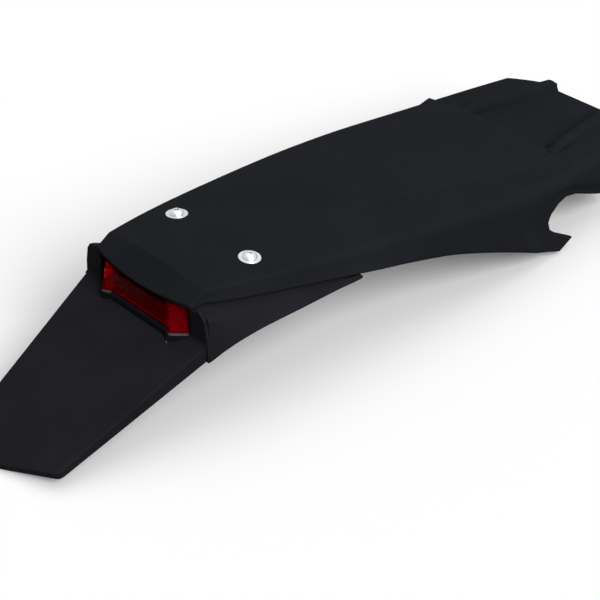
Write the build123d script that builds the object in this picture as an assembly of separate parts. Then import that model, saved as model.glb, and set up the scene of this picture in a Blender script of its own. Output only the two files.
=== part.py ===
from build123d import *
from math import cos, pi, radians, sin, tan
import os

os.makedirs("parts", exist_ok=True)

# Enduro rear fender with its plate holder and tail light, in millimetres.
# X is across the bike with the right side at +X, Y runs forward and Z is up.
# The pieces are laid out from the middle of the two deck screws, on top of the deck,
# and are moved at the end so that the origin is the middle of the front fixing.

# Moulded walls and clearances.
wall = 3.0
holder_wall = 3.0
seat_gap = 0.3
fit_gap = 0.15
hole_gap = 0.5
open_depth = 12.0

# Fender: places along the bike, measured from the screw line.
tail_end_y = -86.0
tail_crease_y = -64.0
wedge_start_y = 139.0
step_y = 372.0
nose_y = 508.0
crown_radius = 740.0

# Fender skin stations from tail to nose: place, height of the middle, half-width and
# height of the deck's edge, half-width and height of the side wall's foot, edge roll.
skin_stations = [
    (tail_crease_y, 7.0, 63.0, 2.5, 65.0, -8.0, 3.5),
    (-32.0, 4.5, 70.2, -0.2, 72.8, -13.2, 4.2),
    (0.0, 1.6, 76.5, -3.4, 79.5, -18.0, 5.0),
    (60.0, -2.5, 85.5, -9.5, 91.0, -27.5, 8.0),
    (wedge_start_y, -7.2, 94.5, -17.0, 101.5, -43.0, 12.0),
    (200.0, -14.0, 101.0, -23.8, 106.5, -58.5, 15.0),
    (260.0, -24.0, 105.0, -31.0, 110.5, -81.0, 16.0),
    (320.0, -34.0, 105.5, -38.5, 112.0, -108.0, 15.0),
    (step_y, -41.0, 101.0, -43.0, 114.0, -126.0, 12.0),
    (430.0, -44.0, 94.0, -46.5, 102.5, -126.0, 9.0),
    (nose_y, -48.5, 84.0, -51.0, 93.0, -122.0, 8.0),
]

# Down-turned lip at the tail: height of the middle, half-width and height of its edge.
lip_middle_z = -8.7
lip_edge_x = 62.5
lip_edge_z = -10.2
lip_depth = 4.4
lip_trim_y = -62.0
lip_trim_z = -9.4
lip_corner_x = 66.0
lip_corner_y = -77.5
lip_corner_radius = 9.0

# Stepped bead along each edge of the tail: place and how far it stands out.
bead_drop = 4.5
bead_stations = [0.3, 1.6, 1.6, 1.0, -0.8]

# Raised wedge behind the seat: place, height of the middle, half-width of its crease,
# and how far the bank beside it reaches down.
wedge_stations = [
    (wedge_start_y - 21.0, -7.4, 34.0, 6.0),
    (wedge_start_y, -7.3, 38.8, 6.0),
    (200.0, -13.0, 51.5, 9.0),
    (250.0, -18.2, 62.0, 14.0),
    (310.0, -24.5, 74.0, 18.0),
    (338.0, -27.3, 81.0, 18.0),
    (step_y, -30.6, 92.0, 14.0),
]
bank_run = 0.55
crease_round = 2.5

# Under-seat deck: middle channel and the two ribs beside it.
channel_depth = 5.0
channel_start_y = step_y + 16.0
channel_rear_x = 54.0
channel_front_x = 30.0
rib_height = 3.5
rib_rear_x = 62.0
rib_front_x = 45.0
rib_start_y = step_y + 26.0

# Side walls ahead of the wedge: outline of the notch and tab, as (Y, Z).
notch_edge = [
    (430.0, -93.0), (379.0, -70.0), (362.0, -66.0), (350.0, -68.0),
    (337.0, -75.0), (333.0, -82.0), (335.0, -90.0), (344.0, -97.5),
]
tab_tip = (370.0, -112.5)
tab_foot = (346.0, -121.0)
bevel_edge = [
    (470.0, -99.0), (421.0, -77.0), (367.0, -54.5), (347.0, -51.5), (331.0, -53.5),
    (309.0, -62.0), (296.0, -72.0), (293.0, -80.0), (297.0, -89.0), (311.0, -106.0),
]
bevel_middle = (385.0, -105.0)
bevel_slope = 20.0
bevel_depth = 3.5
wing_foot = (455.0, -103.0)
nose_half_x = 84.0
nose_chamfer_x = 40.0
nose_chamfer_y = 484.0
nose_foot_z = -70.0

# Front fixing: two brass inserts in bosses under the deck.
insert_spacing = 110.0
insert_y = 440.0
insert_seat_z = -66.0
insert_boss_radius = 8.0
insert_radius = 4.5
insert_bore = 2.5
insert_length = 12.0

# Side fixing: a steel collar in each wing.
collar_y = 447.0
collar_z = -80.0
collar_bore = 3.25
collar_radius = 6.0
collar_flange_radius = 9.0
collar_flange = 1.2
collar_boss_radius = 10.5
collar_boss_in = 91.0
collar_boss_out = 99.5

# Deck screws with their washers, sleeves and nuts.
screw_spacing = 96.0
screw_radius = 3.0
screw_head_radius = 6.4
screw_head_height = 3.7
screw_length = 19.0
socket_flats = 4.0
washer_radius = 10.0
washer_thickness = 1.5
washer_bore = 3.2
spot_depth = 0.3
sleeve_radius = 5.0
sleeve_length = 6.0
holder_pad_radius = 9.0
nut_flats = 10.0
nut_height = 6.0
nut_flange_radius = 7.1
nut_flange = 1.3

# Plate holder: saddle under the tail, rear wall around the light, flared sides and plate.
rear_wall_y = -77.0
rear_wall_top_z = -10.6
rear_wall_low_z = -54.0
ear_outline = [
    (66.8, rear_wall_top_z), (67.2, -9.0), (71.5, -8.0), (77.5, -14.0), (80.5, -29.0), (82.0, rear_wall_low_z),
]
ear_round = 3.0
bridge_half_x = 57.0
bridge_low_z = -9.0
saddle_drop = 5.0
saddle_front_y = 56.0
holder_front_y = 88.0
flare_start = 5.8
flare_drop = 1.8
flare_stations = [
    (rear_wall_y + holder_wall, 80.0, -11.5, 82.0, rear_wall_low_z, 3.0),
    (-60.0, 78.0, -18.0, 84.2, -48.6, 3.0),
    (-45.0, 77.0, -23.4, 87.2, -43.6, 3.0),
    (-27.0, 78.6, -26.2, 90.2, -39.8, 3.0),
    (-7.0, 81.4, -28.0, 92.6, -37.4, 3.0),
    (16.0, 85.0, -29.4, 94.3, -36.4, 3.0),
    (40.0, 88.6, -30.9, 95.4, -36.0, 2.7),
    (64.0, 91.4, -32.7, 96.2, -35.8, 2.3),
    (holder_front_y, 94.2, -34.8, 96.9, -35.6, 1.9),
]
plate_slope = 25.7
plate_top_z = -38.5
plate_top_x = 80.0
plate_low_x = 57.0
plate_length = 158.0
plate_point = 25.0
plate_round = 2.0
plate_corner = 7.0
flange_rear = (-85.0, -58.0)
flange_tip = (-217.0, -114.5)
cove = 4.0

# Tail light: corners of the lens in plan at its top and at its foot, and what is inside.
lens_top_z = -12.6
lens_bottom_z = -37.0
lens_top_half_x = 52.0
lens_half_x = 57.0
lens_side_y = -76.0
lens_back_y = -66.0
ridge_top = (42.5, -84.6)
ridge_low = (44.9, -88.4)
bar_half_x = 36.0
bar_top_y = -82.0
bar_low_y = -84.5
bar_top_z = -16.8
bar_back_y = -70.0
lens_wall = 2.4
window_height = 2.4
skirt_inset = 0.3
skirt_bottom_z = -50.0
light_gap = 2.5
housing_wall = 2.0
housing_back_y = -50.0
gasket_thickness = 1.2
board_y = -60.0
board_half_x = 49.5
board_thickness = 1.6
board_top_z = -15.0
board_bottom_z = -34.5
led_count = 9
led_pitch = 10.5
led_size = 3.5
led_height = 1.2
led_z = -22.5
reflector_depth = 5.0
reflector_half_x = 49.0
reflector_top_z = -16.0
reflector_bottom_z = -30.5
cup_radius = 2.7
cup_mouth = 4.7
plate_led_x = 45.0
plate_led_z = -32.6
post_radius = 2.3
board_screw_x = 25.0
board_screw_z = -32.5
board_screw_radius = 1.1
board_screw_head = 1.9
ear_x = 67.0
ear_z = -29.0
ear_radius = 5.5
ear_thickness = 3.0
light_boss_radius = 5.0
light_screw_radius = 1.9
light_screw_head = 3.6
light_screw_length = 10.0
grommet_x = 12.0
grommet_z = -26.0
grommet_radius = 5.0
cord_bore = 2.4


STAND = (Align.CENTER, Align.CENTER, Align.MIN)
HANG = (Align.CENTER, Align.CENTER, Align.MAX)


def across(y):
    """Upright plane across the bike at a place along it."""
    return Plane(origin=(0, y, 0), x_dir=(1, 0, 0), z_dir=(0, -1, 0))


def both_sides(shape):
    return shape + mirror(shape, about=Plane.YZ)


def skin_face(station, inset, deeper=0.0):
    """Cross-section under the skin, moved inwards by the inset."""
    y, middle, edge_x, edge_z, foot_x, foot_z, roll = station
    corner = (edge_x - inset, edge_z - inset)
    lean = (foot_x - edge_x) / (edge_z - foot_z)
    foot = (corner[0] + lean * (corner[1] - foot_z + deeper), foot_z - deeper)
    mirror_corner = (-corner[0], corner[1])
    mirror_foot = (-foot[0], foot[1])
    outline = (
        ThreePointArc(mirror_corner, (0, middle - inset), corner)
        + Line(corner, foot)
        + Line(foot, mirror_foot)
        + Line(mirror_foot, mirror_corner)
    )
    face = make_face(outline)
    corners = [v for v in face.vertices() if v.Y > foot[1] + 0.5]
    return across(y) * fillet(corners, max(roll - inset, 0.8))


def skin_body(inset, deeper=0.0):
    """Body under the skin from the tail crease to the nose."""
    return loft([skin_face(station, inset, deeper) for station in skin_stations])


def lip_body(inset, deeper=0.0):
    """Body under the lip that turns down behind the tail crease."""
    y, middle, edge_x, edge_z, foot_x, foot_z, roll = skin_stations[0]
    end = (tail_end_y, lip_middle_z, lip_edge_x, lip_edge_z, lip_edge_x + 0.2, lip_edge_z - lip_depth, roll)
    return loft([skin_face(end, inset, deeper), skin_face(skin_stations[0], inset, deeper)], ruled=True)


def bead_body():
    """Body that stands out below the deck's edge and fades towards the wedge."""
    faces = []
    for station, out in zip(skin_stations, bead_stations):
        y, middle, edge_x, edge_z, foot_x, foot_z, roll = station
        low = bead_drop + 0.2 * (roll - 3.5)
        faces.append(skin_face((y, middle - low, edge_x + out, edge_z - low, foot_x + out, foot_z, 2.0), 0.0))
    return loft(faces)


def wedge_body(inset, deeper=0.0):
    """Raised wedge: a crowned top between two banks."""
    faces = []
    for y, middle, crease_x, drop in wedge_stations:
        top = middle - inset
        half = crease_x - inset * 0.75
        edge = top - half ** 2 / (2 * crown_radius)
        low = edge - drop - deeper
        foot = half + bank_run * (drop + deeper)
        outline = (
            ThreePointArc((-half, edge), (0, top), (half, edge))
            + Line((half, edge), (foot, low))
            + Line((foot, low), (-foot, low))
            + Line((-foot, low), (-half, edge))
        )
        face = make_face(outline)
        corners = [v for v in face.vertices() if v.Y > low + 0.5]
        faces.append(across(y - (inset if y == step_y else 0.0)) * fillet(corners, crease_round))
    return loft(faces)


def side_prism(points, half_x=140.0):
    """Prism across the bike from an outline seen from the side."""
    return extrude(Plane.YZ * make_face(Polyline(*points, close=True)), amount=half_x, both=True)


def plan_prism(points, low=-160.0, high=40.0):
    face = make_face(Polyline(*points, close=True))
    return extrude(Pos(0, 0, low) * face, amount=high - low)


def channel_cut(grow):
    """Middle channel of the under-seat deck, grown by a wall where it is lined."""
    start = channel_start_y - grow
    rear = channel_rear_x + grow
    front = channel_front_x + grow
    points = [(-rear, start), (-front, nose_y + 5), (front, nose_y + 5), (rear, start)]
    floor = []
    for station in skin_stations[-3:]:
        y, middle, edge_x, edge_z, foot_x, foot_z, roll = station
        depth = middle - channel_depth - grow
        floor.append((y - 20 if y == step_y else y + (6 if y == nose_y else 0), depth))
    profile = floor + [(nose_y + 6, 0.0), (step_y - 20, 0.0)]
    return plan_prism(points) & side_prism(profile)


def ribs():
    """Two raised ribs beside the channel, rounded along their tops."""
    faces = []
    for y, near_x, far_x in (
        (rib_start_y, channel_rear_x + 1.5, rib_rear_x),
        (nose_y, channel_front_x + 1.5, rib_front_x),
    ):
        t = (y - step_y) / (nose_y - step_y)
        base = skin_stations[-3][1] + t * (skin_stations[-1][1] - skin_stations[-3][1])
        half = (far_x - near_x) / 2
        sketch = Pos((near_x + far_x) / 2, base + rib_height / 2 - 2.0) * RectangleRounded(
            half * 2, rib_height + 4.0, 1.8
        )
        faces.append(across(y) * sketch)
    return both_sides(loft(faces, ruled=True))


def skin_x(y, z):
    """Half-width of the side wall's outer face at a place."""
    for a, b in zip(skin_stations, skin_stations[1:]):
        if a[0] <= y <= b[0]:
            t = (y - a[0]) / (b[0] - a[0])
            edge_x, edge_z, foot_x, foot_z = [a[i] + t * (b[i] - a[i]) for i in (2, 3, 4, 5)]
            return edge_x + (z - edge_z) / (foot_z - edge_z) * (foot_x - edge_x)
    return skin_stations[-1][4]


def bevel_plug(grow):
    """Plug with sloping sides that presses the bevel around the notch into the side wall."""
    plug = Pos(100, 385, -100) * Box(80, 230, 110)
    middle = Vector(80, *bevel_middle)
    for (y0, z0), (y1, z1) in zip(bevel_edge, bevel_edge[1:]):
        start = Vector(skin_x(y0, z0), y0, z0)
        end = Vector(skin_x(y1, z1), y1, z1)
        along = (end - start).normalized()
        inward = Vector(0, along.Z, -along.Y)
        if inward.dot(middle - start) < 0:
            inward = inward * -1.0
        fall = inward * cos(radians(bevel_slope)) + Vector(-sin(radians(bevel_slope)), 0, 0)
        normal = along.cross(fall).normalized()
        if normal.X < 0:
            normal = normal * -1.0
        cut = Plane(origin=start - normal * grow, x_dir=along, z_dir=normal)
        plug = split(plug, bisect_by=cut, keep=Keep.TOP)
    return plug


def deck_frame(side):
    """Frame on top of the deck at one of the deck screws, square to the skin there."""
    x = side * screw_spacing / 2
    before, here, after = skin_stations[1:4]
    sag = (here[1] - here[3]) / here[2] ** 2
    rise = (after[1] - before[1]) / (after[0] - before[0])
    normal = Vector(2 * sag * x, -rise, 1).normalized()
    return Plane(origin=(x, 0, here[1] - sag * x ** 2), x_dir=Vector(1, 0, -2 * sag * x), z_dir=normal)


def tail_plan():
    """Plan of the fender: a bowed lip with rounded corners, and a chamfered nose."""
    corner = lip_corner_x
    tail = ThreePointArc((-corner, lip_corner_y), (0, tail_end_y + 0.5), (corner, lip_corner_y))
    rest = Polyline(
        (corner, lip_corner_y), (corner, tail_crease_y), (150, tail_crease_y), (150, nose_chamfer_y - 24),
        (nose_half_x, nose_chamfer_y), (nose_chamfer_x, nose_y - 1), (-nose_chamfer_x, nose_y - 1),
        (-nose_half_x, nose_chamfer_y), (-150, nose_chamfer_y - 24), (-150, tail_crease_y),
        (-corner, tail_crease_y), (-corner, lip_corner_y),
    )
    face = make_face(tail + rest)
    corners = [v for v in face.vertices() if v.Y < lip_corner_y + 0.5]
    face = fillet(corners, lip_corner_radius)
    return extrude(Pos(0, 0, -160) * face, amount=220)


def side_outline():
    """Side view of the fender, with the tab and notch ahead of the wedge."""
    side = [(tail_end_y - 20, 40), (nose_y + 20, 40), (nose_y + 20, nose_foot_z), (nose_y - 18, nose_foot_z)]
    side += [(wing_foot[0] + 24, wing_foot[1] + 18), wing_foot] + notch_edge
    side += [tab_tip, tab_foot, (300, -140), (lip_trim_y, -140), (lip_trim_y, lip_trim_z)]
    side += [(tail_end_y - 20, lip_trim_z)]
    return side_prism(side)


def insert_place(side):
    return Pos(side * insert_spacing / 2, insert_y, insert_seat_z)


def collar_place():
    return Plane(origin=(collar_boss_out, collar_y, collar_z), x_dir=(0, 1, 0), z_dir=(1, 0, 0))


def make_fender():
    outer = skin_body(0.0) + lip_body(0.0) + bead_body() + wedge_body(0.0)
    cavity = skin_body(wall, open_depth) + lip_body(wall * 1.2, open_depth) + wedge_body(wall, 5.0)
    plug = bevel_plug(0.0) - skin_body(bevel_depth, open_depth)
    lining = bevel_plug(wall) - skin_body(wall + bevel_depth, open_depth * 2)
    outer = outer - channel_cut(0.0) - both_sides(plug)
    cavity = cavity - channel_cut(wall) - both_sides(lining)
    bosses = [insert_place(side) * Cylinder(insert_boss_radius, 40, align=STAND) for side in (-1, 1)]
    fender = outer + ribs() - cavity + (Compound(bosses) & outer)
    fender = fender & tail_plan() & side_outline()
    boss_length = collar_boss_out - collar_boss_in
    boss = collar_place() * Cylinder(collar_boss_radius, boss_length, align=HANG)
    fender = fender + both_sides(boss)
    hole = collar_place() * Cylinder(collar_radius + fit_gap, boss_length * 3)
    fender = fender - both_sides(hole)
    for side in (-1, 1):
        fender = fender - insert_place(side) * Cylinder(insert_radius + fit_gap, insert_length, align=STAND)
        deck = deck_frame(side)
        fender = fender - deck * Cylinder(screw_radius + hole_gap, 20)
        fender = fender - deck * Pos(0, 0, -spot_depth) * Cylinder(washer_radius + hole_gap, 10, align=STAND)
    return outer, cavity, fender


def foot_at(y):
    """Foot of the fender's side wall at a place along the tail."""
    y = max(y, skin_stations[0][0])
    for a, b in zip(skin_stations, skin_stations[1:]):
        if a[0] <= y <= b[0]:
            t = (y - a[0]) / (b[0] - a[0])
            return a[4] + t * (b[4] - a[4]), a[5] + t * (b[5] - a[5])


def flare_face(station):
    """Cross-section of one flared side: a bent strip of even thickness."""
    y, shoulder_x, shoulder_z, low_x, low_z, thickness = station
    foot_x, foot_z = foot_at(y)
    start = Vector(foot_x - flare_start, foot_z - flare_drop)
    shoulder = Vector(shoulder_x, shoulder_z)
    low = Vector(low_x, low_z)
    first = (shoulder - start).normalized()
    second = (low - shoulder).normalized()
    first_in = Vector(first.Y, -first.X)
    second_in = Vector(second.Y, -second.X)
    bend = (first_in + second_in) * (thickness / (1 + first_in.dot(second_in)))
    points = [start, shoulder, low, low + second_in * thickness, shoulder + bend, start + first_in * thickness]
    face = make_face(Polyline(*[(p.X, p.Y) for p in points], close=True))
    round_off = 0.3 * min((shoulder - start).length, (low - shoulder).length)
    outer_bend = face.vertices().sort_by_distance((shoulder.X, shoulder.Y))[0]
    face = fillet([outer_bend], min(round_off, 6.0))
    return across(y) * face


def plate_frame():
    slope = radians(plate_slope)
    normal = (0, -sin(slope), cos(slope))
    return Plane(origin=(0, rear_wall_y, plate_top_z), x_dir=(1, 0, 0), z_dir=normal)


def slab(face, y0, y1):
    """Block across the bike between two places along it."""
    return extrude(across(y1) * face, amount=y1 - y0)


def plate_tray():
    """Sloping number plate support: a tray open below with a pointed lower end."""
    low = -plate_length
    outline = [
        (-plate_top_x, 3.0), (-plate_low_x, low), (0, low - plate_point), (plate_low_x, low), (plate_top_x, 3.0),
    ]
    face = make_face(Polyline(*outline, close=True))
    corners = [v for v in face.vertices() if v.Y < 0]
    face = fillet(corners, plate_corner)
    tray = extrude(face, amount=-24)
    rim = [e for e in tray.edges() if abs(e.center().Z) < 0.01 and e.center().Y < 2.0]
    tray = fillet(rim, plate_round)
    tray = tray - Pos(0, 0, -holder_wall) * extrude(offset(face, -holder_wall), amount=-30)
    fall = (flange_rear[1] - flange_tip[1]) / (flange_rear[0] - flange_tip[0])
    start_z = flange_rear[1] + fall * (-60.0 - flange_rear[0])
    end_z = flange_rear[1] + fall * (-270.0 - flange_rear[0])
    return (plate_frame() * tray) & side_prism([(-60, 30), (-60, start_z), (-270, end_z), (-270, 30)])


def plate_cove():
    """Hollow fillet where the plate meets the rear wall."""
    slope = radians(plate_slope)
    half_angle = (pi / 2 + slope) / 2
    radius = cove * tan(half_angle)
    corner = Vector(rear_wall_y, plate_top_z)
    down = Vector(-cos(slope), -sin(slope))
    middle = (down + Vector(0, 1)).normalized() * (radius / sin(half_angle) - radius)
    up_end = corner + Vector(0, cove)
    low_end = corner + down * cove
    root = corner + Vector(1.0, -1.0)
    bow = corner + middle
    outline = (
        ThreePointArc((up_end.X, up_end.Y), (bow.X, bow.Y), (low_end.X, low_end.Y))
        + Line((low_end.X, low_end.Y), (root.X, root.Y))
        + Line((root.X, root.Y), (up_end.X, up_end.Y))
    )
    return extrude(Plane.YZ * make_face(outline), amount=plate_top_x - 0.6, both=True)


def light_plan(z, back_y=lens_back_y):
    """Outline of the lens in plan at a height: two ridged lobes with a bar between."""
    t = (lens_top_z - z) / (lens_top_z - lens_bottom_z)
    side = lens_top_half_x + t * (lens_half_x - lens_top_half_x)
    ridge_x = ridge_top[0] + t * (ridge_low[0] - ridge_top[0])
    ridge_y = ridge_top[1] + t * (ridge_low[1] - ridge_top[1])
    bar_y = bar_top_y + t * (bar_low_y - bar_top_y)
    half = [(bar_half_x, bar_y), (ridge_x, ridge_y), (side, lens_side_y), (side, back_y)]
    points = [(-x, y) for x, y in reversed(half)] + half
    return Pos(0, 0, z) * make_face(Polyline(*points, close=True))


def ear_screw_place(side):
    return Plane(origin=(side * ear_x, lens_back_y, ear_z), x_dir=(1, 0, 0), z_dir=(0, -1, 0))


def block(x0, x1, y0, y1, z0, z1):
    return Pos((x0 + x1) / 2, (y0 + y1) / 2, (z0 + z1) / 2) * Box(x1 - x0, y1 - y0, z1 - z0)


def make_holder():
    inside = skin_body(wall + seat_gap, saddle_drop) + lip_body(wall * 1.2 + seat_gap, saddle_drop)
    hollow = skin_body(wall + seat_gap + holder_wall, saddle_drop * 4)
    hollow = hollow + lip_body(wall * 1.2 + seat_gap + holder_wall, saddle_drop * 4)
    front = [(saddle_front_y, 30), (saddle_front_y, 0), (holder_front_y, -34), (holder_front_y, -70)]
    saddle = (inside - hollow) & side_prism([(rear_wall_y, -70), (rear_wall_y, 30)] + front)
    flares = both_sides(loft([flare_face(station) for station in flare_stations]))
    half = ear_outline
    ears = make_face(Polyline(*([(-x, z) for x, z in reversed(half)] + half), close=True))
    tips = [v for v in ears.vertices() if abs(v.X) > 70 and v.Y > ear_outline[4][1] + 1]
    ears = fillet(tips, ear_round)
    front_y = rear_wall_y + holder_wall
    rear = slab(ears, rear_wall_y, front_y)
    bridge = block(-bridge_half_x, bridge_half_x, rear_wall_y, front_y, bridge_low_z - 3.0, 10.0) & inside
    holder = saddle + flares + rear + bridge + plate_tray() + plate_cove()
    opening = light_plan(lens_bottom_z, lens_back_y + 4.0)
    opening = offset(opening, light_gap, kind=Kind.INTERSECTION)
    low_z = rear_wall_low_z - 10.0
    cut = extrude(Pos(0, 0, low_z - lens_bottom_z) * opening, amount=bridge_low_z - low_z)
    holder = holder - cut
    for side in (-1, 1):
        boss = ear_screw_place(side) * Cylinder(light_boss_radius, lens_back_y - front_y + 1.0, align=STAND)
        holder = holder + boss
        depth = light_screw_length - ear_thickness + 1.0
        holder = holder - ear_screw_place(side) * Cylinder(light_screw_radius + 0.1, depth, align=STAND)
        deck = deck_frame(side)
        low = wall + seat_gap + sleeve_length
        pad = (deck * Pos(0, 0, -low) * Cylinder(holder_pad_radius, 14, align=STAND)) & cavity
        holder = holder + pad
        holder = holder - deck * Cylinder(sleeve_radius + fit_gap, 40)
    return holder


def lens_frame():
    """Outline of the back of the lens, seen from behind the bike."""
    top, low = lens_top_half_x, lens_half_x
    points = [(-top, lens_top_z), (top, lens_top_z), (low, lens_bottom_z), (-low, lens_bottom_z)]
    return make_face(Polyline(*points, close=True))


def lobe_zone(start_x, z0, z1, back_y):
    zone = block(start_x, 80, -110, back_y, z0, z1)
    return both_sides(zone)


def make_lens():
    body = loft([light_plan(lens_bottom_z), light_plan(lens_top_z)], ruled=True)
    low = lens_bottom_z + lens_wall
    top = lens_top_z - lens_wall
    deep = lens_back_y + 6.0
    faces = [offset(light_plan(z, deep), -lens_wall, kind=Kind.INTERSECTION) for z in (low, top)]
    hollow = loft(faces, ruled=True)
    body = body - block(-bar_half_x, bar_half_x, -110, bar_back_y, bar_top_z, 0)
    inner_x = bar_half_x + lens_wall
    hollow = hollow - block(-inner_x, inner_x, -110, bar_back_y + lens_wall, bar_top_z - lens_wall, 0)
    lens = body - hollow
    lamp = offset(light_plan(lens_bottom_z), -lens_wall, kind=Kind.INTERSECTION)
    lamp = extrude(Pos(0, 0, -1) * lamp, amount=lens_wall + 2.0)
    return lens - (lamp & lobe_zone(inner_x, lens_bottom_z - 2, low + 1, bar_back_y))


def make_window(side):
    window = extrude(light_plan(lens_bottom_z), amount=-window_height)
    zone = block(bar_half_x + 0.2, 80, -110, lens_back_y, -60, -20)
    window = window & zone
    return window if side > 0 else mirror(window, about=Plane.YZ)


def make_housing():
    frame = lens_frame()
    front_y = lens_back_y + gasket_thickness
    box = slab(frame, front_y, housing_back_y)
    box = box - slab(offset(frame, -housing_wall, kind=Kind.INTERSECTION), front_y - 1, housing_back_y - housing_wall)
    plan = light_plan(lens_bottom_z, front_y + housing_wall + skirt_inset)
    skirt = offset(plan, -skirt_inset, kind=Kind.INTERSECTION)
    hollow = offset(plan, -skirt_inset - housing_wall, kind=Kind.INTERSECTION)
    drop = lens_bottom_z - skirt_bottom_z
    ring = extrude(skirt, amount=-drop) - extrude(Pos(0, 0, 1) * hollow, amount=-drop - 2)
    seat = lens_bottom_z - window_height
    ring = ring - lobe_zone(bar_half_x, seat, lens_bottom_z + 1, lens_back_y + 0.2)
    joint = block(-40, 40, front_y, front_y + housing_wall, lens_bottom_z - 3, lens_bottom_z + 1)
    housing = box + ring + joint
    ear = ear_screw_place(1) * Cylinder(ear_radius, ear_thickness, align=HANG)
    arm_z = ear_radius - 0.5
    arm = block(lens_half_x - 3, ear_x, front_y, lens_back_y + ear_thickness, ear_z - arm_z, ear_z + arm_z)
    tip = block(lens_half_x + 1, ear_x, lens_back_y, lens_back_y + ear_thickness, ear_z - arm_z, ear_z + arm_z)
    hole = ear_screw_place(1) * Cylinder(light_screw_radius + 0.3, 30)
    ear = ear + arm + tip - hole
    ear = ear - slab(offset(frame, -housing_wall, kind=Kind.INTERSECTION), front_y - 1, housing_back_y - housing_wall)
    housing = housing + both_sides(ear)
    wall_y = housing_back_y - housing_wall
    board_back = board_y + board_thickness
    for x, z in ((board_screw_x, board_screw_z), (-board_screw_x, board_screw_z), (44, -19), (-44, -19)):
        post = across(wall_y + 0.5) * Pos(x, z) * Cylinder(post_radius, wall_y + 0.5 - board_back, align=STAND)
        housing = housing + post
    for x in (board_screw_x, -board_screw_x):
        bore = across(board_back + 5.0) * Pos(x, board_screw_z)
        housing = housing - bore * Cylinder(board_screw_radius + 0.05, 5.0, align=STAND)
    return housing - across(housing_back_y) * Pos(grommet_x, grommet_z) * Cylinder(grommet_radius, 12)


def make_gasket():
    frame = lens_frame()
    inner = offset(frame, -lens_wall, kind=Kind.INTERSECTION)
    return slab(frame - inner, lens_back_y, lens_back_y + gasket_thickness)


def make_grommet():
    wall_y = housing_back_y - housing_wall
    hole = across(housing_back_y) * Pos(grommet_x, grommet_z)
    neck = hole * Pos(0, 0, -1) * Cylinder(grommet_radius - 0.1, housing_wall + 2, align=STAND)
    inner_flange = across(wall_y) * Pos(grommet_x, grommet_z) * Cylinder(grommet_radius + 1.5, 1.2, align=STAND)
    outer_flange = hole * Cylinder(grommet_radius + 2.0, 1.4, align=HANG)
    tail = hole * Pos(0, 0, -1.4) * Cone(3.4, 4.8, 7.0, align=HANG)
    bore = hole * Cylinder(cord_bore, 40)
    return neck + inner_flange + outer_flange + tail - bore


def make_board():
    board = block(-board_half_x, board_half_x, board_y, board_y + board_thickness, board_bottom_z, board_top_z)
    for x in (board_screw_x, -board_screw_x):
        board = board - across(board_y) * Pos(x, board_screw_z) * Cylinder(board_screw_radius + 0.15, 10)
    return board


def make_led(x, z):
    half = led_size / 2
    body = block(x - half, x + half, board_y - led_height + 0.2, board_y, z - half, z + half)
    dome = across(board_y - led_height + 0.2) * Pos(x, z) * Cylinder(led_size * 0.38, 0.2, align=STAND)
    return body + dome


def make_tail_leds():
    places = [(i - (led_count - 1) / 2) * led_pitch for i in range(led_count)]
    return Compound([make_led(x, led_z) for x in places])


def make_plate_leds():
    return Compound([make_led(x, plate_led_z) for x in (-plate_led_x, plate_led_x)])


def make_resistors():
    back = board_y + board_thickness
    chips = [block(x - 1.6, x + 1.6, back, back + 0.6, -27.8, -26.2) for x in (-36, -24, -12, 8)]
    return Compound(chips)


def make_board_screws():
    screws = []
    for x in (board_screw_x, -board_screw_x):
        place = across(board_y) * Pos(x, board_screw_z)
        screw = place * Cylinder(board_screw_head, 1.2, align=STAND)
        screw = screw + place * Cylinder(board_screw_radius, 6.0, align=HANG)
        slot = place * Pos(0, 0, 0.6) * Box(board_screw_head * 3, 0.5, 1.4, align=STAND)
        screws.append(screw - slot)
    return Compound(screws)


def make_reflector():
    front_y = board_y - led_height - reflector_depth
    back_y = board_y - led_height
    half = reflector_half_x
    body = block(-half, half, front_y, back_y, reflector_bottom_z, reflector_top_z)
    for i in range(led_count):
        x = (i - (led_count - 1) / 2) * led_pitch
        cup = across(back_y) * Pos(x, led_z) * Cone(cup_radius, cup_mouth, reflector_depth, align=STAND)
        body = body - cup
    for x in (-half + 0.6, half - 3.6):
        for z in (reflector_bottom_z + 0.4, reflector_top_z - 3.4):
            body = body + block(x, x + 3.0, back_y - 0.5, board_y, z, z + 3.0)
    return body


def make_light_screws():
    screws = []
    for side in (-1, 1):
        place = ear_screw_place(side) * Pos(0, 0, -ear_thickness)
        shank = place * Cylinder(light_screw_radius, light_screw_length, align=STAND)
        head = place * Cylinder(light_screw_head, 2.4, align=HANG)
        rim = [e for e in head.edges() if e.center().Y > lens_back_y + ear_thickness + 1.0]
        head = fillet(rim, 1.0)
        cross = place * Pos(0, 0, -2.4 + 1.3) * (Box(3.6, 0.9, 3, align=HANG) + Box(0.9, 3.6, 3, align=HANG))
        screws.append(shank + head - cross)
    return Compound(screws)


def make_deck_screw(side):
    place = deck_frame(side) * Pos(0, 0, washer_thickness - spot_depth)
    r = screw_head_radius
    h = screw_head_height
    profile = (
        Polyline((0, -screw_length), (screw_radius - 0.6, -screw_length), (screw_radius, -screw_length + 0.6),
                 (screw_radius, 0), (r, 0), (r, 0.9))
        + ThreePointArc((r, 0.9), (r * 0.76, h * 0.74), (r * 0.42, h))
        + Polyline((r * 0.42, h), (0, h), (0, -screw_length))
    )
    screw = revolve(Plane.XZ * make_face(profile), Axis.Z)
    socket = extrude(RegularPolygon(socket_flats / 2, 6, major_radius=False), amount=-2.4)
    return place * (screw - Pos(0, 0, h) * socket)


def make_washer(side):
    place = deck_frame(side) * Pos(0, 0, -spot_depth)
    washer = Cylinder(washer_radius, washer_thickness, align=STAND)
    washer = chamfer(washer.edges().group_by(Axis.Z)[-1], 0.3)
    return place * (washer - Cylinder(washer_bore, 10))


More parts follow.
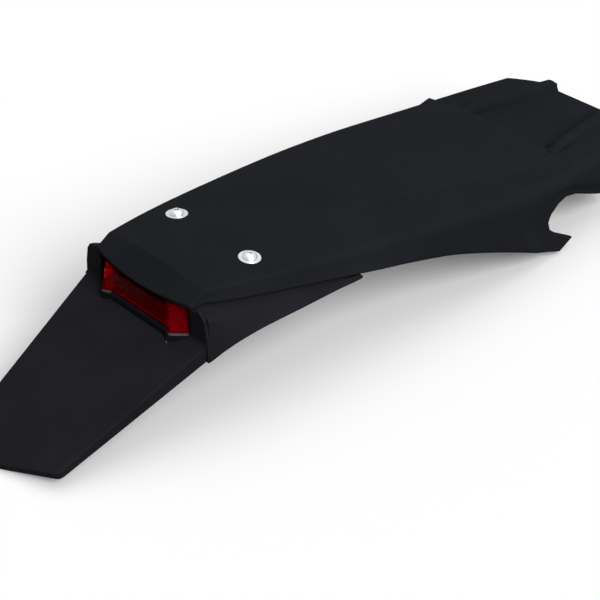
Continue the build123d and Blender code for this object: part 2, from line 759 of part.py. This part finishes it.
def stack_foot(side):
    """Frame under the holder's pad at a deck screw."""
    return deck_frame(side) * Pos(0, 0, -(wall + seat_gap + sleeve_length))


def make_sleeve(side):
    sleeve = Cylinder(sleeve_radius, sleeve_length, align=STAND) - Cylinder(screw_radius + 0.25, 40)
    return stack_foot(side) * sleeve


def make_nut(side):
    hexagon = extrude(RegularPolygon(nut_flats / 2, 6, major_radius=False), amount=-nut_height)
    cone = Pos(0, 0, -nut_height) * Cone(nut_flats / 2 + 0.1, nut_flats / 2 + nut_height, nut_height, align=STAND)
    flange = Cylinder(nut_flange_radius, nut_flange, align=HANG)
    return stack_foot(side) * ((hexagon & cone) + flange - Cylinder(screw_radius + 0.1, 40))


def make_insert(side):
    body = Cylinder(insert_radius, insert_length, align=STAND)
    for z in (3.4, 7.4):
        groove = Cylinder(insert_radius + 1, 1.2) - Cylinder(insert_radius - 0.5, 1.2)
        body = body - Pos(0, 0, z) * groove
    return insert_place(side) * (body - Cylinder(insert_bore, 60))


def make_collar():
    length = collar_boss_out - collar_boss_in
    barrel = Cylinder(collar_radius, length, align=HANG)
    flange = Cylinder(collar_flange_radius, collar_flange, align=STAND)
    flange = chamfer(flange.edges().group_by(Axis.Z)[-1], 0.4)
    return collar_place() * (barrel + flange - Cylinder(collar_bore, 60))


outer, cavity, fender = make_fender()
collar = make_collar()
pieces = {
    "rear_fender": fender,
    "plate_holder": make_holder(),
    "light_lens": make_lens(),
    "plate_lamp_window_left": make_window(-1),
    "plate_lamp_window_right": make_window(1),
    "light_housing": make_housing(),
    "light_reflector": make_reflector(),
    "light_circuit_board": make_board(),
    "tail_leds": make_tail_leds(),
    "plate_leds": make_plate_leds(),
    "board_resistors": make_resistors(),
    "board_screws": make_board_screws(),
    "lens_gasket": make_gasket(),
    "cable_grommet": make_grommet(),
    "light_screws": make_light_screws(),
    "fender_screws": Compound([make_deck_screw(side) for side in (-1, 1)]),
    "fender_washers": Compound([make_washer(side) for side in (-1, 1)]),
    "holder_sleeves": Compound([make_sleeve(side) for side in (-1, 1)]),
    "holder_nuts": Compound([make_nut(side) for side in (-1, 1)]),
    "wing_collars": Compound([mirror(collar, about=Plane.YZ), collar]),
    "deck_inserts": Compound([make_insert(side) for side in (-1, 1)]),
}
to_front_fixing = Pos(0, -insert_y, -insert_seat_z)
for name, shape in pieces.items():
    export_step(to_front_fixing * shape, f"parts/{name}.step")
    print(name, shape.is_valid, len(shape.solids()), round(shape.volume))
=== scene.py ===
import bpy
import math
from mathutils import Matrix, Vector


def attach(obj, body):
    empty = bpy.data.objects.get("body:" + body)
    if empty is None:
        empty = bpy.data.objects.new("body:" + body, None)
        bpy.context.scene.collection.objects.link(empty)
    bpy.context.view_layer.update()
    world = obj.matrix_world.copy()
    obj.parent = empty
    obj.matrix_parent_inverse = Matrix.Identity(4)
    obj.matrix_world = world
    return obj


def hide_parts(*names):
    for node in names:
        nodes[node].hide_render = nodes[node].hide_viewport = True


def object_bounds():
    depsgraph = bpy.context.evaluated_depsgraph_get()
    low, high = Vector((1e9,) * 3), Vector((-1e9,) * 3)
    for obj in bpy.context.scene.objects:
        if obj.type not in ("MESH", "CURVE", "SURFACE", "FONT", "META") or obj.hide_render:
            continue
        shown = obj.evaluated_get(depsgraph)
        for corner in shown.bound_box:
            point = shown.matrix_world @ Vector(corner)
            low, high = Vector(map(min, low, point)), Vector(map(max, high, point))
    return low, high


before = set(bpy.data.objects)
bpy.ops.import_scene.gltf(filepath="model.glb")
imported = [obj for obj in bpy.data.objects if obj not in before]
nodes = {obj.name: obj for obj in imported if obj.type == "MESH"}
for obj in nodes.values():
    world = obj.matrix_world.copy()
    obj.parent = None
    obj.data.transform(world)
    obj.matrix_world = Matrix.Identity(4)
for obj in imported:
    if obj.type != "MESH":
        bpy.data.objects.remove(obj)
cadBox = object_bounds()
mm = 0.001  # one millimetre in scene units


# helpers

srgb = {"knee": 0.04045, "slope": 12.92, "offset": 0.055, "power": 2.4, "full": 255}


def hexColour(code):
    # sRGB hex to the linear colour that a socket takes
    linear = []
    for start in (1, 3, 5):
        level = int(code[start:start + 2], 16) / srgb["full"]
        if level <= srgb["knee"]:
            linear.append(level / srgb["slope"])
        else:
            linear.append(((level + srgb["offset"]) / (1 + srgb["offset"])) ** srgb["power"])
    return (*linear, 1.0)


def newMaterial(name):
    material = bpy.data.materials.new(name)
    material.use_nodes = True
    tree = material.node_tree
    tree.nodes.clear()
    return material, tree


def addNode(tree, kind, settings=None, values=None, links=None):
    # adds one node: plain settings, socket values, then links from other nodes' outputs
    node = tree.nodes.new(kind)
    for key, value in (settings or {}).items():
        setattr(node, key, value)
    for key, value in (values or {}).items():
        node.inputs[key].default_value = value
    for key, source in (links or {}).items():
        tree.links.new(source, node.inputs[key])
    return node


# materials

# black polypropylene of the fender, injection moulded in a spark-eroded tool: a fine even grain
# that breaks up the highlight, faint flow clouds, and rounder folds from the wedge forwards
fenderLook = {
    "dark": "#1d1e21", "pale": "#212226", "cloudSize": 60.0, "cloudDetail": 4.0,
    "cloudFrom": 0.3, "cloudTo": 0.7,
    "grainSize": 0.55, "grainStrength": 0.25, "grainDepth": 0.06, "speckleRatio": 2.6, "speckleDetail": 3.0,
    "roughness": 0.6, "glossier": 0.03, "duller": 0.05, "ior": 1.49, "specular": 0.003,
    "edgeRadius": 1.0, "softFrom": -330.0, "softTo": -270.0, "softRadius": 3.4, "edgeSamples": 8,
}

# the same plastic on the plate holder, from a finer tool: smoother, a little glossier and a
# shade redder than the fender, with the same round edges all over
holderLook = {
    **fenderLook,
    "dark": "#1f1e22", "pale": "#232227", "cloudSize": 45.0,
    "grainSize": 0.4, "grainStrength": 0.12, "grainDepth": 0.04,
    "roughness": 0.5, "specular": 0.004,
    "edgeRadius": 1.2, "softRadius": 1.2,
}


def mouldedPolypropylene(name, look):
    material, tree = newMaterial(name)
    place = addNode(tree, "ShaderNodeTexCoord")
    onPart = {"Vector": place.outputs["Object"]}
    clouds = addNode(tree, "ShaderNodeTexNoise", links=onPart,
                     values={"Scale": 1 / (look["cloudSize"] * mm), "Detail": look["cloudDetail"]})
    tone = addNode(tree, "ShaderNodeValToRGB", links={"Fac": clouds.outputs["Fac"]})
    tone.color_ramp.elements[0].color = hexColour(look["dark"])
    tone.color_ramp.elements[1].color = hexColour(look["pale"])
    tone.color_ramp.elements[0].position = look["cloudFrom"]
    tone.color_ramp.elements[1].position = look["cloudTo"]
    grain = addNode(tree, "ShaderNodeTexVoronoi", links=onPart,
                    values={"Scale": 1 / (look["grainSize"] * mm)})
    speckleSize = look["grainSize"] * look["speckleRatio"] * mm
    speckle = addNode(tree, "ShaderNodeTexNoise", links=onPart,
                      values={"Scale": 1 / speckleSize, "Detail": look["speckleDetail"]})
    pits = addNode(tree, "ShaderNodeMath", {"operation": "ADD"},
                   links={0: grain.outputs["Distance"], 1: speckle.outputs["Fac"]})
    split = addNode(tree, "ShaderNodeSeparateXYZ", links=onPart)
    softness = addNode(tree, "ShaderNodeMapRange",
                       values={"From Min": look["softFrom"] * mm, "From Max": look["softTo"] * mm,
                               "To Min": look["edgeRadius"] * mm, "To Max": look["softRadius"] * mm},
                       links={"Value": split.outputs["Y"]})
    rounded = addNode(tree, "ShaderNodeBevel", {"samples": look["edgeSamples"]},
                      links={"Radius": softness.outputs["Result"]})
    bump = addNode(tree, "ShaderNodeBump",
                   values={"Strength": look["grainStrength"], "Distance": look["grainDepth"] * mm},
                   links={"Height": pits.outputs["Value"], "Normal": rounded.outputs["Normal"]})
    shine = addNode(tree, "ShaderNodeMapRange",
                    values={"From Min": look["cloudFrom"], "From Max": look["cloudTo"],
                            "To Min": look["roughness"] - look["glossier"],
                            "To Max": look["roughness"] + look["duller"]},
                    links={"Value": clouds.outputs["Fac"]})
    surface = addNode(tree, "ShaderNodeBsdfPrincipled",
                      values={"IOR": look["ior"], "Specular IOR Level": look["specular"]},
                      links={"Base Color": tone.outputs["Color"], "Roughness": shine.outputs["Result"],
                             "Normal": bump.outputs["Normal"]})
    addNode(tree, "ShaderNodeOutputMaterial", links={"Surface": surface.outputs["BSDF"]})
    return material


fenderPlastic = mouldedPolypropylene("grainedPolypropylene", fenderLook)
holderPlastic = mouldedPolypropylene("satinPolypropylene", holderLook)

# red acrylic of the tail light, injection moulded and polished: the bar between the lobes is painted a
# darker red as painted shade, the lobes a brighter red as painted highlight, and small pillow optics break
# up what shines through
lensLook = {
    "shadedBarRed": "#8a000c", "litLobeRed": "#be0012", "barTo": 30.0, "lobeFrom": 38.0,
    "ior": 1.05, "specular": 0.02, "transmission": 0.84, "coat": 0.01, "coatRoughness": 0.08,
    "pillowSize": 2.4, "pillowStrength": 0.7, "pillowDepth": 0.5, "edgeRadius": 0.7, "edgeSamples": 8,
    "hazeSize": 5.0, "hazeDetail": 4.0, "hazeFrom": 0.35, "hazeTo": 0.7, "clear": 0.05, "dull": 0.22,
}


def lensAcrylic(name, look):
    material, tree = newMaterial(name)
    place = addNode(tree, "ShaderNodeTexCoord")
    onPart = {"Vector": place.outputs["Object"]}
    pillows = addNode(tree, "ShaderNodeTexVoronoi", links=onPart,
                      values={"Scale": 1 / (look["pillowSize"] * mm)})
    optics = addNode(tree, "ShaderNodeBump",
                     values={"Strength": look["pillowStrength"], "Distance": look["pillowDepth"] * mm},
                     links={"Height": pillows.outputs["Distance"]})
    rounded = addNode(tree, "ShaderNodeBevel", {"samples": look["edgeSamples"]},
                      {"Radius": look["edgeRadius"] * mm})
    haze = addNode(tree, "ShaderNodeTexNoise", links=onPart,
                   values={"Scale": 1 / (look["hazeSize"] * mm), "Detail": look["hazeDetail"]})
    blur = addNode(tree, "ShaderNodeMapRange",
                   values={"From Min": look["hazeFrom"], "From Max": look["hazeTo"],
                           "To Min": look["clear"], "To Max": look["dull"]},
                   links={"Value": haze.outputs["Fac"]})
    split = addNode(tree, "ShaderNodeSeparateXYZ", links=onPart)
    sideways = addNode(tree, "ShaderNodeMath", {"operation": "ABSOLUTE"}, links={0: split.outputs["X"]})
    # painted shade and highlight: the same red is darker on the bar and brighter on the lobes, by sideways
    # distance from the middle
    lobe = addNode(tree, "ShaderNodeMapRange",
                   values={"From Min": look["barTo"] * mm, "From Max": look["lobeFrom"] * mm},
                   links={"Value": sideways.outputs["Value"]})
    paintedShadeAndLightRed = addNode(tree, "ShaderNodeValToRGB", links={"Fac": lobe.outputs["Result"]})
    paintedShadeAndLightRed.color_ramp.elements[0].color = hexColour(look["shadedBarRed"])
    paintedShadeAndLightRed.color_ramp.elements[1].color = hexColour(look["litLobeRed"])
    surface = addNode(tree, "ShaderNodeBsdfPrincipled",
                      values={"IOR": look["ior"], "Transmission Weight": look["transmission"],
                              "Specular IOR Level": look["specular"], "Coat Weight": look["coat"],
                              "Coat Roughness": look["coatRoughness"]},
                      links={"Base Color": paintedShadeAndLightRed.outputs["Color"], "Roughness": blur.outputs["Result"],
                             "Normal": optics.outputs["Normal"], "Coat Normal": rounded.outputs["Normal"]})
    addNode(tree, "ShaderNodeOutputMaterial", links={"Surface": surface.outputs["BSDF"]})
    return material


redAcrylic = lensAcrylic("redAcrylic", lensLook)

# what the small parts share: faint clouds in their gloss, as handling leaves them, and edges
# that are slightly round; each part's look gives what differs
smallPartLook = {
    "metallic": 0.0, "transmission": 0.0, "ior": 1.5, "specular": 0.5,
    "edgeRadius": 0.3, "edgeSamples": 6, "glossier": 0.05, "duller": 0.07,
    "cloudScale": 140.0, "cloudDetail": 5.0, "cloudFrom": 0.3, "cloudTo": 0.7,
}


def smallPartFinish(name, colour, roughness, **differences):
    look = {**smallPartLook, **differences}
    material, tree = newMaterial(name)
    place = addNode(tree, "ShaderNodeTexCoord")
    clouds = addNode(tree, "ShaderNodeTexNoise", links={"Vector": place.outputs["Object"]},
                     values={"Scale": look["cloudScale"], "Detail": look["cloudDetail"]})
    shine = addNode(tree, "ShaderNodeMapRange",
                    values={"From Min": look["cloudFrom"], "From Max": look["cloudTo"],
                            "To Min": roughness - look["glossier"], "To Max": roughness + look["duller"]},
                    links={"Value": clouds.outputs["Fac"]})
    rounded = addNode(tree, "ShaderNodeBevel", {"samples": look["edgeSamples"]},
                      {"Radius": look["edgeRadius"] * mm})
    surface = addNode(tree, "ShaderNodeBsdfPrincipled",
                      values={"Base Color": hexColour(colour), "Metallic": look["metallic"],
                              "IOR": look["ior"], "Specular IOR Level": look["specular"],
                              "Transmission Weight": look["transmission"]},
                      links={"Roughness": shine.outputs["Result"], "Normal": rounded.outputs["Normal"]})
    addNode(tree, "ShaderNodeOutputMaterial", links={"Surface": surface.outputs["BSDF"]})
    return material


# water-clear window, slightly smoky
clearAcrylic = smallPartFinish("clearAcrylic", "#a8acb0", 0.12, transmission=0.8, ior=1.49)
# satin black housing
housingPlastic = smallPartFinish("blackABS", "#17171a", 0.4, edgeRadius=0.4, specular=0.01)
# dull mirror behind the lens
mirrorPlastic = smallPartFinish("metallisedPlastic", "#5c5c60", 0.42, metallic=1.0)
# green lacquer over the board
boardLaminate = smallPartFinish("lacqueredLaminate", "#0d4a28", 0.3)
# cream resin with a soft gloss
diodeResin = smallPartFinish("diodeResin", "#e8dca0", 0.3)
# matt black chips
chipCeramic = smallPartFinish("chipCeramic", "#1b1b1c", 0.5)
# bright zinc on steel, near white in soft light
zincSteel = smallPartFinish("zincPlatedSteel", "#cfd1d4", 0.3, metallic=1.0)
# yellow turned brass
turnedBrass = smallPartFinish("turnedBrass", "#c9a04f", 0.3, metallic=1.0)
# matt black rubber
softRubber = smallPartFinish("softRubber", "#121213", 0.7)

finishes = [
    (fenderPlastic, ["rear_fender"]),
    (holderPlastic, ["plate_holder"]),
    (redAcrylic, ["light_lens"]),
    (clearAcrylic, ["plate_lamp_window_left", "plate_lamp_window_right"]),
    (housingPlastic, ["light_housing"]),
    (mirrorPlastic, ["light_reflector"]),
    (boardLaminate, ["light_circuit_board"]),
    (diodeResin, ["tail_leds", "plate_leds"]),
    (chipCeramic, ["board_resistors"]),
    (softRubber, ["lens_gasket", "cable_grommet"]),
    (zincSteel, ["fender_screws", "fender_washers", "light_screws", "board_screws"]),
    (zincSteel, ["holder_sleeves", "holder_nuts", "wing_collars"]),
    (turnedBrass, ["deck_inserts"]),
]
for finish, nodeNames in finishes:
    for nodeName in nodeNames:
        slots = nodes[nodeName].data.materials
        slots.clear()
        slots.append(finish)
print("materials done")


# pieces

def takeCopy(node, name, mergeWithin):
    # a CAD node's mesh as a piece of its own, its loose triangles joined
    bpy.ops.object.select_all(action="DESELECT")
    piece = bpy.data.objects.new(name, nodes[node].data.copy())
    bpy.context.scene.collection.objects.link(piece)
    bpy.context.view_layer.objects.active = piece
    piece.select_set(True)
    bpy.ops.object.mode_set(mode="EDIT")
    bpy.ops.mesh.select_all(action="SELECT")
    bpy.ops.mesh.remove_doubles(threshold=mergeWithin * mm)
    bpy.ops.object.mode_set(mode="OBJECT")
    return piece


def seat(piece, slot, *replaced):
    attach(piece, "root")
    if replaced:
        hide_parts(*replaced)


# the light's skirt stands closer to the holder's opening than the plain solid does
skirt = {"below": 28.8, "out": 1.7, "sideFrom": 30.0, "frontFrom": -512.0, "mergeWithin": 0.002}
housing = takeCopy("light_housing", "housingSkirt", skirt["mergeWithin"])
for vertex in housing.data.vertices:
    if vertex.co.z < skirt["below"] * mm:
        if abs(vertex.co.x) > skirt["sideFrom"] * mm:
            vertex.co.x += math.copysign(skirt["out"] * mm, vertex.co.x)
        if vertex.co.y < skirt["frontFrom"] * mm:
            vertex.co.y -= skirt["out"] * mm
seat(housing, "housing_plastic", "light_housing")
print("housing skirt done")


# the two ridges on the under-seat deck, round along their tops as moulded ribs are; the rear
# end is the one at the step, where a ridge rises out of the deck over its run-in
ridge = {
    "rearY": -56.0, "frontY": 66.5, "rearX": 59.2, "frontX": 38.6, "rearHalf": 7.5, "frontHalf": 10.0,
    "rearZ": 25.0, "frontZ": 17.6, "height": 4.5, "runIn": 0.16, "sunk": 0.9, "squareness": 3,
    "outerFoot": 1.6, "innerFoot": 6.2, "wall": 1.5, "across": 18, "along": 44, "smoothBelow": 40.0,
}


def between(start, end, share):
    return start + share * (end - start)


def addRidge(name, side):
    bpy.ops.object.select_all(action="DESELECT")
    bpy.ops.mesh.primitive_grid_add(x_subdivisions=ridge["across"], y_subdivisions=ridge["along"],
                                    size=2.0, location=(0, 0, 0))
    piece = bpy.context.object
    piece.name = name
    for vertex in piece.data.vertices:
        across = vertex.co.x  # from -1 at the inner foot to 1 at the outer one
        along = (vertex.co.y + 1) / 2  # from 0 at the rear end to 1 at the nose
        middle = between(ridge["rearX"], ridge["frontX"], along)
        half = between(ridge["rearHalf"], ridge["frontHalf"], along)
        deck = between(ridge["rearZ"], ridge["frontZ"], along)
        ramp = min(1.0, along / ridge["runIn"])
        rise = ramp * ramp * (3 - 2 * ramp)  # leaves and ends level
        crown = ridge["height"] * rise * (1 - abs(across) ** ridge["squareness"])
        foot = ridge["innerFoot"] * max(0.0, -across) ** ridge["squareness"]
        foot += ridge["outerFoot"] * max(0.0, across) ** ridge["squareness"]
        sideways = side * (middle + across * half)
        lengthways = between(ridge["rearY"], ridge["frontY"], along)
        height = deck - (1 - rise) * ridge["sunk"] + crown - foot
        vertex.co = (sideways * mm, lengthways * mm, height * mm)
    if side < 0:
        piece.data.flip_normals()
    thick = piece.modifiers.new("wall", "SOLIDIFY")
    thick.thickness = ridge["wall"] * mm
    thick.offset = -1.0
    bpy.ops.object.modifier_apply(modifier=thick.name)
    bpy.ops.object.shade_smooth_by_angle(angle=math.radians(ridge["smoothBelow"]))
    piece.data.materials.append(fenderPlastic)
    seat(piece, "fender_plastic")


addRidge("deckRidgeRight", 1)
addRidge("deckRidgeLeft", -1)
print("deck ridges done")


# stage: a pale floor that the plate's tip and the side tabs rest on, and soft lamps

stage = {
    "floorSize": 12.0, "floorDrop": 0.2, "floorLift": 0.08,
    "floorColour": "#f4f4f4", "bounceColour": "#5a5a5a",
    "worldColour": "#ffffff", "worldStrength": 0.18, "seenStrength": 1.0,
}
lowest = cadBox[0][2]
bpy.ops.object.select_all(action="DESELECT")
bpy.ops.mesh.primitive_plane_add(size=stage["floorSize"], location=(0, 0, lowest - stage["floorDrop"] * mm))
floor = bpy.context.object
floor.name = "floor"


def seenRays(tree):
    # 1 for what the eye, a polished face or clear plastic sees, 0 for the light that falls on things
    rays = addNode(tree, "ShaderNodeLightPath")
    eyeOrGloss = addNode(tree, "ShaderNodeMath", {"operation": "MAXIMUM"},
                         links={0: rays.outputs["Is Camera Ray"], 1: rays.outputs["Is Glossy Ray"]})
    anySeen = addNode(tree, "ShaderNodeMath", {"operation": "MAXIMUM"},
                      links={0: eyeOrGloss.outputs["Value"], 1: rays.outputs["Is Transmission Ray"]})
    return anySeen.outputs["Value"]


# the floor looks white where the light falls freely on it and keeps the object's soft shadow,
# and throws only a little light back under the black plastic
floorPaint, floorTree = newMaterial("paleFloor")
floorShade = addNode(floorTree, "ShaderNodeBsdfDiffuse", values={"Color": hexColour(stage["floorColour"])})
floorGlow = addNode(floorTree, "ShaderNodeEmission", values={"Strength": stage["floorLift"]})
floorBright = addNode(floorTree, "ShaderNodeAddShader",
                      links={0: floorShade.outputs["BSDF"], 1: floorGlow.outputs["Emission"]})
floorBounce = addNode(floorTree, "ShaderNodeBsdfDiffuse", values={"Color": hexColour(stage["bounceColour"])})
floorMix = addNode(floorTree, "ShaderNodeMixShader",
                   links={0: seenRays(floorTree), 1: floorBounce.outputs["BSDF"],
                          2: floorBright.outputs["Shader"]})
addNode(floorTree, "ShaderNodeOutputMaterial", links={"Surface": floorMix.outputs["Shader"]})
floor.data.materials.append(floorPaint)

# the world looks white and lights the object only a little
world = bpy.data.worlds.new("studio")
bpy.context.scene.world = world
world.use_nodes = True
worldTree = world.node_tree
worldTree.nodes.clear()
around = addNode(worldTree, "ShaderNodeBackground",
                 values={"Color": hexColour(stage["worldColour"]), "Strength": stage["worldStrength"]})
seen = addNode(worldTree, "ShaderNodeBackground",
               values={"Color": hexColour(stage["worldColour"]), "Strength": stage["seenStrength"]})
worldMix = addNode(worldTree, "ShaderNodeMixShader",
                   links={0: seenRays(worldTree), 1: around.outputs["Background"],
                          2: seen.outputs["Background"]})
addNode(worldTree, "ShaderNodeOutputWorld", links={"Surface": worldMix.outputs["Shader"]})

# even lights over the whole floor, as from large soft boxes far away
softSuns = {
    "topLight": {"comesFrom": (-0.05, 0.25, 1.0), "power": 1.0, "softness": 70.0},
    "sideLight": {"comesFrom": (1.0, -0.15, 0.8), "power": 2.7, "softness": 36.0},
}
for sunName, sun in softSuns.items():
    lamp = bpy.data.lights.new(sunName, "SUN")
    lamp.energy = sun["power"]
    lamp.angle = math.radians(sun["softness"])
    lampObject = bpy.data.objects.new(sunName, lamp)
    bpy.context.scene.collection.objects.link(lampObject)
    lampObject.rotation_euler = Vector(sun["comesFrom"]).to_track_quat("Z", "Y").to_euler()

# the photograph's camera
view = {
    "place": (0.95502, -1.23366, 0.85270), "aim": (-0.60002, 0.56374, -0.56760),
    "lens": 102.0, "sensor": 36.0,
}
camera = bpy.data.cameras.new("photoCamera")
camera.lens = view["lens"]
camera.sensor_width = view["sensor"]
cameraObject = bpy.data.objects.new("photoCamera", camera)
bpy.context.scene.collection.objects.link(cameraObject)
cameraObject.location = view["place"]
cameraObject.rotation_euler = Vector(view["aim"]).to_track_quat("-Z", "Y").to_euler()
bpy.context.scene.camera = cameraObject
bpy.context.scene.view_settings.view_transform = "Standard"
print("stage done")
